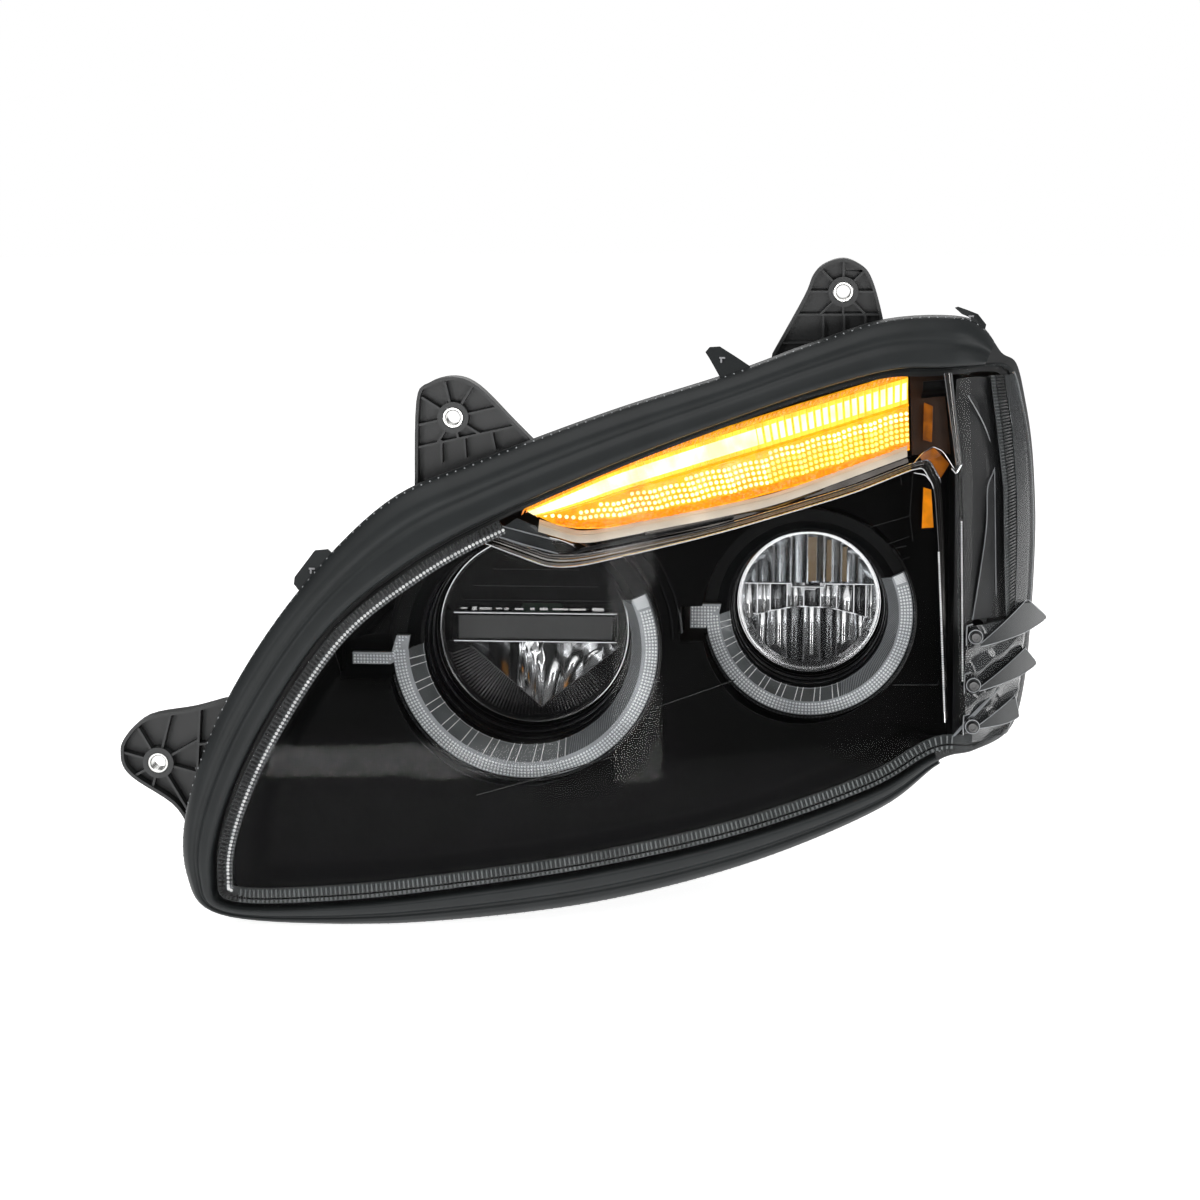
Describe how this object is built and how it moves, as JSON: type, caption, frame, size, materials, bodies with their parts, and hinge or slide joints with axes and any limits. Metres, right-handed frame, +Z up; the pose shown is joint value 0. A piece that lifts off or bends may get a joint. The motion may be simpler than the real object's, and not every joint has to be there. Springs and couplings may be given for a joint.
{
  "type": "headlight assembly",
  "caption": "Left-hand vehicle headlight with halo-ringed low and high beams, amber turn signal strip, wrapped clear lens, black bezel, rubber hood seal and fixing tabs.",
  "frame": {"origin": "centre of the lamp's overall box", "axes": "+X outboard (vehicle left), -Y forward along the beams, +Y into the vehicle, +Z up"},
  "size_m": [0.693, 0.3534, 0.472],
  "materials": {
    "housing_plastic": "satin black, fine moulded grain",
    "bezel_plastic": "deep black, satin gloss",
    "seal_rubber": "smooth matt rubber",
    "clear_lens": "clear hard-coated polycarbonate",
    "inner_glass": "clear",
    "light_guide": "frosted clear with a bead texture",
    "chrome": "bright",
    "metallised": "vacuum metallised plastic",
    "amber": "lit amber optics",
    "circuit_board": "green solder mask",
    "aluminium": "die cast, plain",
    "steel": "zinc plated",
    "nylon": "natural nylon"
  },
  "bodies": {
    "lamp_housing": {"adjuster_bush": "nylon", "bezel": "bezel_plastic", "breather_vent": "housing_plastic", "brow_panel": "bezel_plastic", "high_collar": "bezel_plastic", "high_halo": "light_guide", "high_halo_board": "circuit_board", "hood_seal": "seal_rubber", "housing": "housing_plastic", "led_driver": "aluminium", "lens_screw_1": "steel", "lens_screw_2": "steel", "lens_screw_3": "steel", "lens_seal": "seal_rubber", "low_collar": "bezel_plastic", "low_halo": "light_guide", "low_halo_board": "circuit_board", "lower_inboard_limiter": "steel", "marker_facet": "amber", "marker_light_pipe": "amber", "outer_lens": "clear_lens", "pivot_stud_inboard": "nylon", "pivot_stud_outboard": "nylon", "power_socket": "housing_plastic", "side_bezel": "bezel_plastic", "side_trim": "chrome", "signal_board": "circuit_board", "signal_ledge": "light_guide", "signal_lens": "amber", "signal_reflector": "metallised", "terminal_header": "nylon", "trim_strip": "chrome", "upper_inboard_limiter": "steel", "upper_outboard_limiter": "steel"},
    "beam_carrier": {"carrier_frame": "housing_plastic", "low_glass_ring": "chrome", "low_glass": "inner_glass", "low_reflector": "metallised", "low_bridge_bar": "bezel_plastic", "low_board": "circuit_board", "low_heat_sink": "aluminium", "high_glass_ring": "chrome", "high_glass": "inner_glass", "high_reflector": "metallised", "high_shelf": "metallised", "high_flutes": "metallised", "high_board": "circuit_board", "high_heat_sink": "aluminium"},
    "screw": {"adjuster_screw": "steel"},
    "nut": {"adjuster_nut": "nylon"},
    "low_cap": {"low_cap": "housing_plastic", "low_cap_seal": "seal_rubber"},
    "high_cap": {"high_cap": "housing_plastic", "high_cap_seal": "seal_rubber"}
  },
  "joints": [
    {"name": "aim_tilt", "type": "hinge", "parent": "lamp_housing", "child": "beam_carrier", "pos_m": [0.0575, 0.0377, -0.031], "axis": [1, 0, 0], "range_deg": [-2.5, 2.5]},
    {"name": "adjuster_travel", "type": "slide", "parent": "lamp_housing", "child": "nut", "axis": [0, 1, 0], "range_m": [-0.0045, 0.0045]},
    {"name": "adjuster_turn", "type": "hinge", "parent": "lamp_housing", "child": "screw", "pos_m": [0.0535, 0.1067, -0.134], "axis": [0, 1, 0], "range_deg": [-810, 810]},
    {"name": "low_cap_pull", "type": "slide", "parent": "lamp_housing", "child": "low_cap", "axis": [0, 1, 0], "range_m": [0, 0.06]},
    {"name": "high_cap_pull", "type": "slide", "parent": "lamp_housing", "child": "high_cap", "axis": [0, 1, 0], "range_m": [0, 0.06]}
  ],
  "couplings": [
    {"joint": "adjuster_travel", "follows": "aim_tilt", "m_per_rad": 0.103},
    {"joint": "adjuster_turn", "follows": "aim_tilt", "ratio": -323.58}
  ]
}
